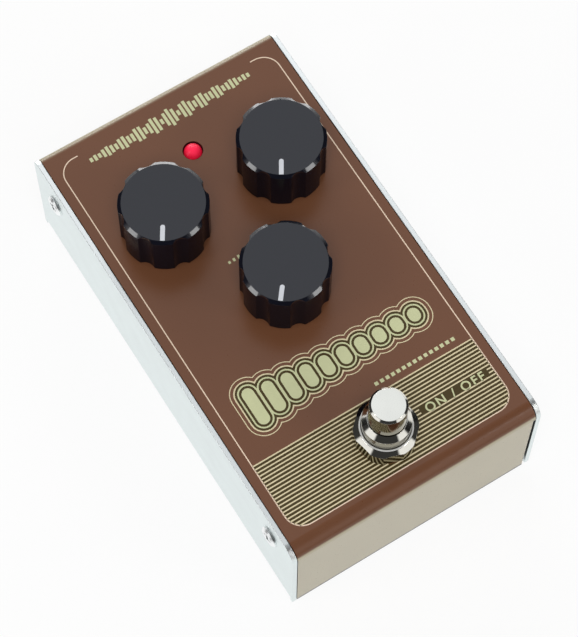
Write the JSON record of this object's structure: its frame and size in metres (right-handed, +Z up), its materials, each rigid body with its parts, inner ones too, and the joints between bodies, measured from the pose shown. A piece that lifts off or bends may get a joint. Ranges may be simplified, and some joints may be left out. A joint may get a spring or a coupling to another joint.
{
  "type": "delay pedal",
  "caption": "Folded metal delay pedal with fluted rotary knobs, a push foot switch, a status lamp, rear quarter-inch sockets and a power inlet.",
  "frame": {"origin": "on the floor under the middle of the whole pedal, sockets included", "axes": "+X to the right seen from the front, +Y to the back where the sockets are, +Z up"},
  "size_m": [0.072, 0.1248, 0.0567],
  "materials": {
    "cover_paint": "satin brown paint, beige front",
    "bright_plate": "bright plated sheet",
    "screw_steel": "plated",
    "foot_rubber": "matte",
    "knob_black": "glossy moulded black",
    "pointer_white": "white inlay",
    "shaft_metal": "turned",
    "pot_body": "moulded",
    "nut_steel": "plated",
    "switch_chrome": "polished plating",
    "switch_blue": "moulded",
    "spring_steel": "drawn wire",
    "board_green": "solder mask",
    "header_ivory": "moulded",
    "ribbon_grey": "flat cable",
    "lamp_red": "tinted lens",
    "chip_black": "moulded",
    "pin_tin": "tinned",
    "can_dark": "sleeved can",
    "film_red": "boxed",
    "resistor_tan": "lacquered",
    "socket_black": "moulded",
    "contact_brass": "sprung strip"
  },
  "bodies": {
    "case": {"top_cover": "cover_paint", "base_tray": "bright_plate", "cover_screws": "screw_steel", "rubber_feet": "foot_rubber", "mix_pot": "pot_body", "time_pot": "pot_body", "repeats_pot": "pot_body", "pot_nuts": "nut_steel", "pot_washers": "nut_steel", "pot_pins": "pin_tin", "footswitch_barrel": "switch_chrome", "footswitch_nut": "switch_chrome", "footswitch_washer": "switch_chrome", "footswitch_lock_nut": "nut_steel", "footswitch_case": "switch_blue", "footswitch_spring": "spring_steel", "footswitch_pins": "pin_tin", "switch_board": "board_green", "ribbon_header": "header_ivory", "ribbon_cable": "ribbon_grey", "status_lamp": "lamp_red", "status_lamp_leads": "pin_tin", "main_board": "board_green", "delay_chips": "chip_black", "chip_legs": "pin_tin", "electrolytic_capacitors": "can_dark", "film_capacitors": "film_red", "resistors": "resistor_tan", "input_jack": "socket_black", "input_contact": "contact_brass", "output_jack": "socket_black", "output_contact": "contact_brass", "jack_nuts": "nut_steel", "jack_washers": "nut_steel", "dc_inlet": "socket_black", "dc_inlet_pin": "pin_tin", "dc_inlet_spring": "contact_brass"},
    "mix_control": {"mix_knob": "knob_black", "mix_pointer": "pointer_white", "mix_shaft": "shaft_metal"},
    "time_control": {"time_knob": "knob_black", "time_pointer": "pointer_white", "time_shaft": "shaft_metal"},
    "repeats_control": {"repeats_knob": "knob_black", "repeats_pointer": "pointer_white", "repeats_shaft": "shaft_metal"},
    "foot_button": {"footswitch_button": "switch_chrome"}
  },
  "joints": [
    {"name": "mix_turn", "type": "hinge", "parent": "case", "child": "mix_control", "pos_m": [-0.0167, 0.026, 0.047], "axis": [0, 0, -1], "range_deg": [-2, 298]},
    {"name": "time_turn", "type": "hinge", "parent": "case", "child": "time_control", "pos_m": [0.0167, 0.026, 0.047], "axis": [0, 0, -1], "range_deg": [-2, 298]},
    {"name": "repeats_turn", "type": "hinge", "parent": "case", "child": "repeats_control", "pos_m": [0, -0.0028, 0.047], "axis": [0, 0, -1], "range_deg": [-9, 291]},
    {"name": "foot_press", "type": "slide", "parent": "case", "child": "foot_button", "axis": [0, 0, -1], "range_m": [0, 0.0035], "stiffness_N_per_m": 2000, "springref_m": -0.002, "deforming": ["footswitch_spring"]}
  ]
}
